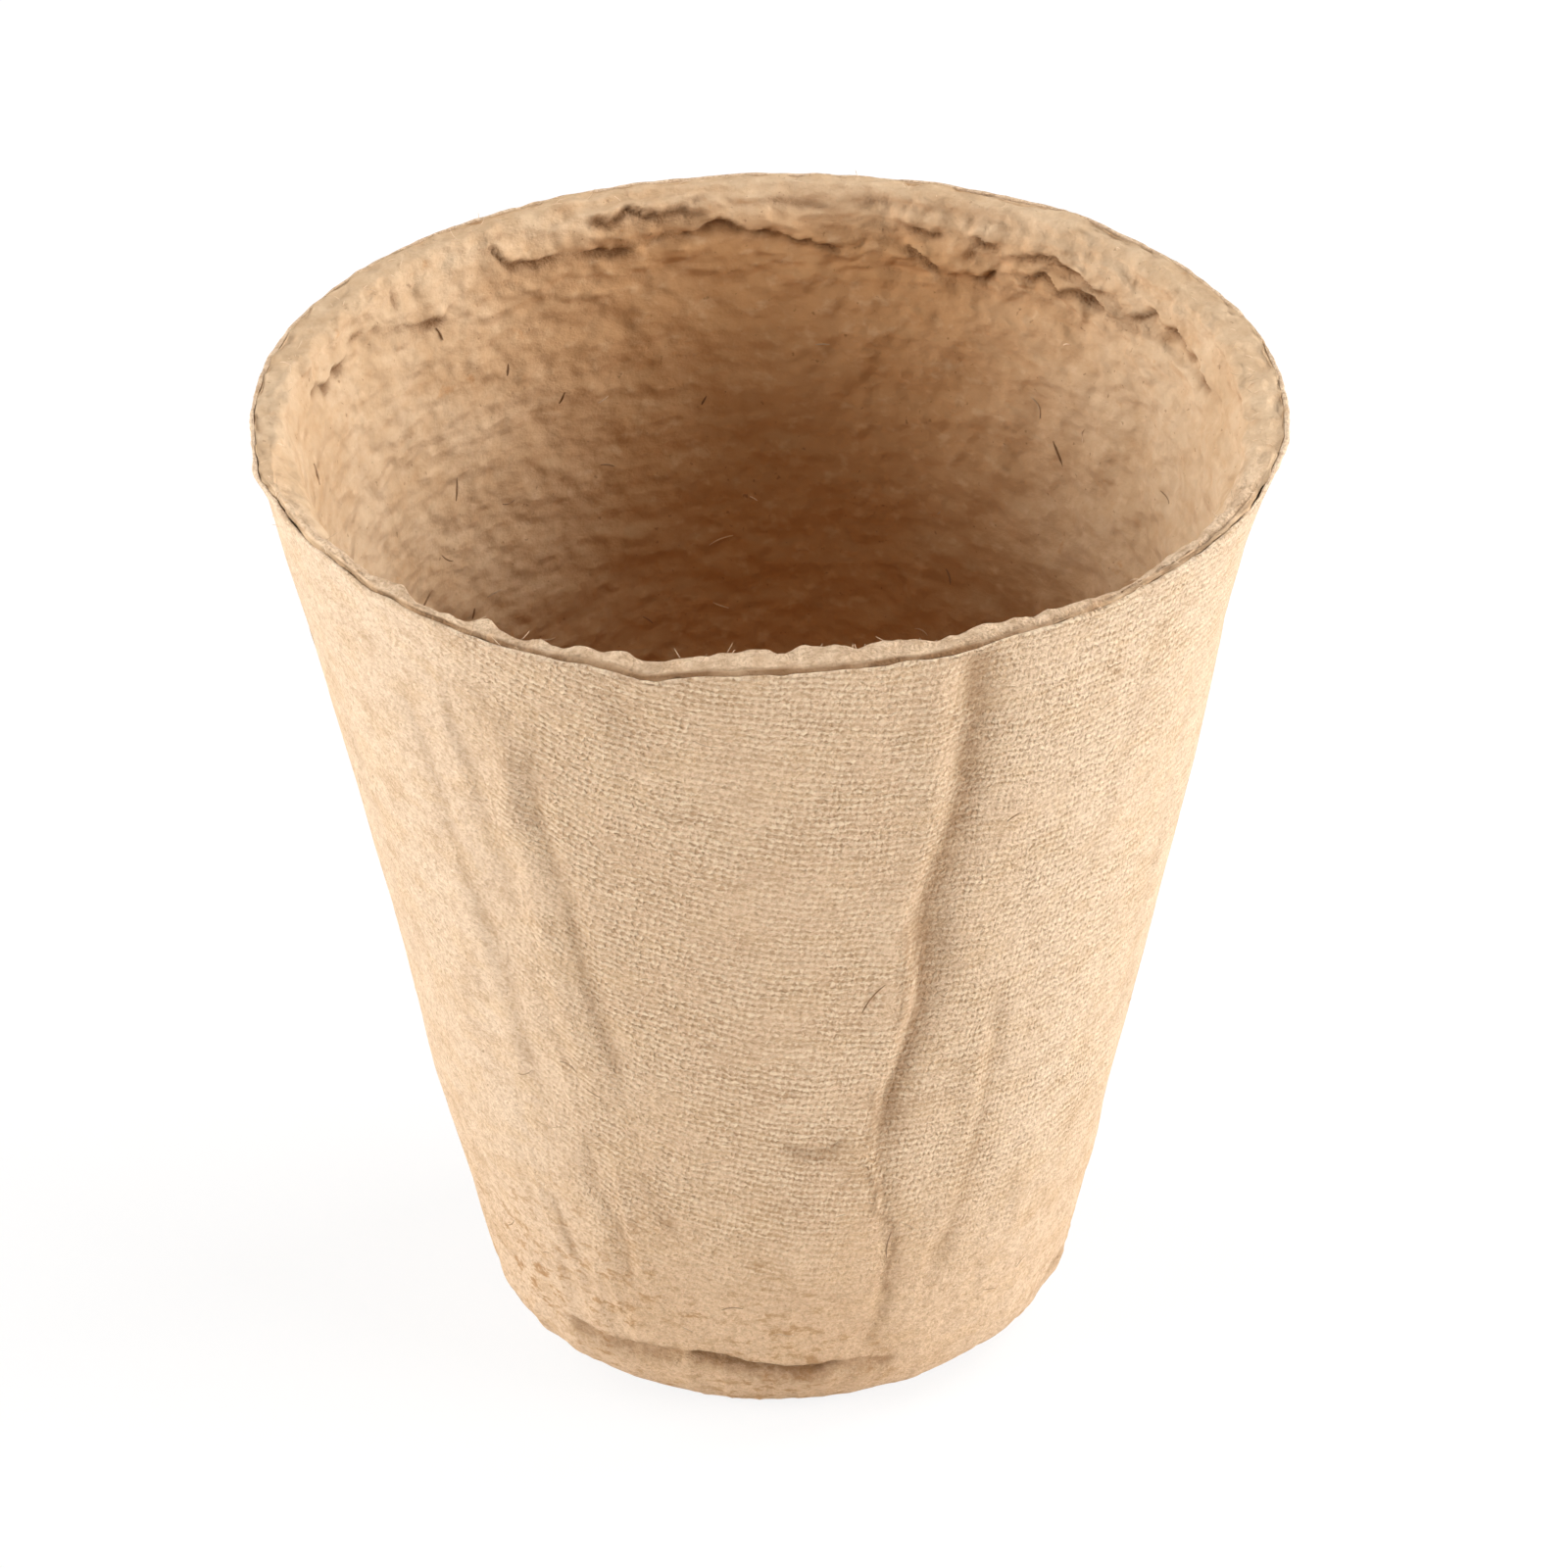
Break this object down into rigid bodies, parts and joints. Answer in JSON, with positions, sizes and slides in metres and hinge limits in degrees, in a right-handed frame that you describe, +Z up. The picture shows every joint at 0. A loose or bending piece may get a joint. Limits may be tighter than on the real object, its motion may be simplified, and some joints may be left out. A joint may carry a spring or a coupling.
{
  "type": "peat pot",
  "caption": "Round tapered seedling pot of moulded peat and wood fibre, with a cloth-marked skin, a coarse felted inside and a torn rim.",
  "frame": {"origin": "middle of the underside, at the height of the surface that the pot stands on", "axes": "+Z up along the pot's axis, from the foot to the rim; -Y towards the side with the two long wall creases and the undercut fold, which is the front; +X to the right seen from the front"},
  "size_m": [0.08, 0.08, 0.08],
  "materials": {
    "outer_ply": "matt moulded peat and wood fibre, printed with the weave of the mould's cloth",
    "inner_ply": "matt coarse felted peat and wood fibre"
  },
  "bodies": {
    "root": {"outer_ply": "outer_ply", "inner_ply": "inner_ply"}
  },
  "joints": []
}
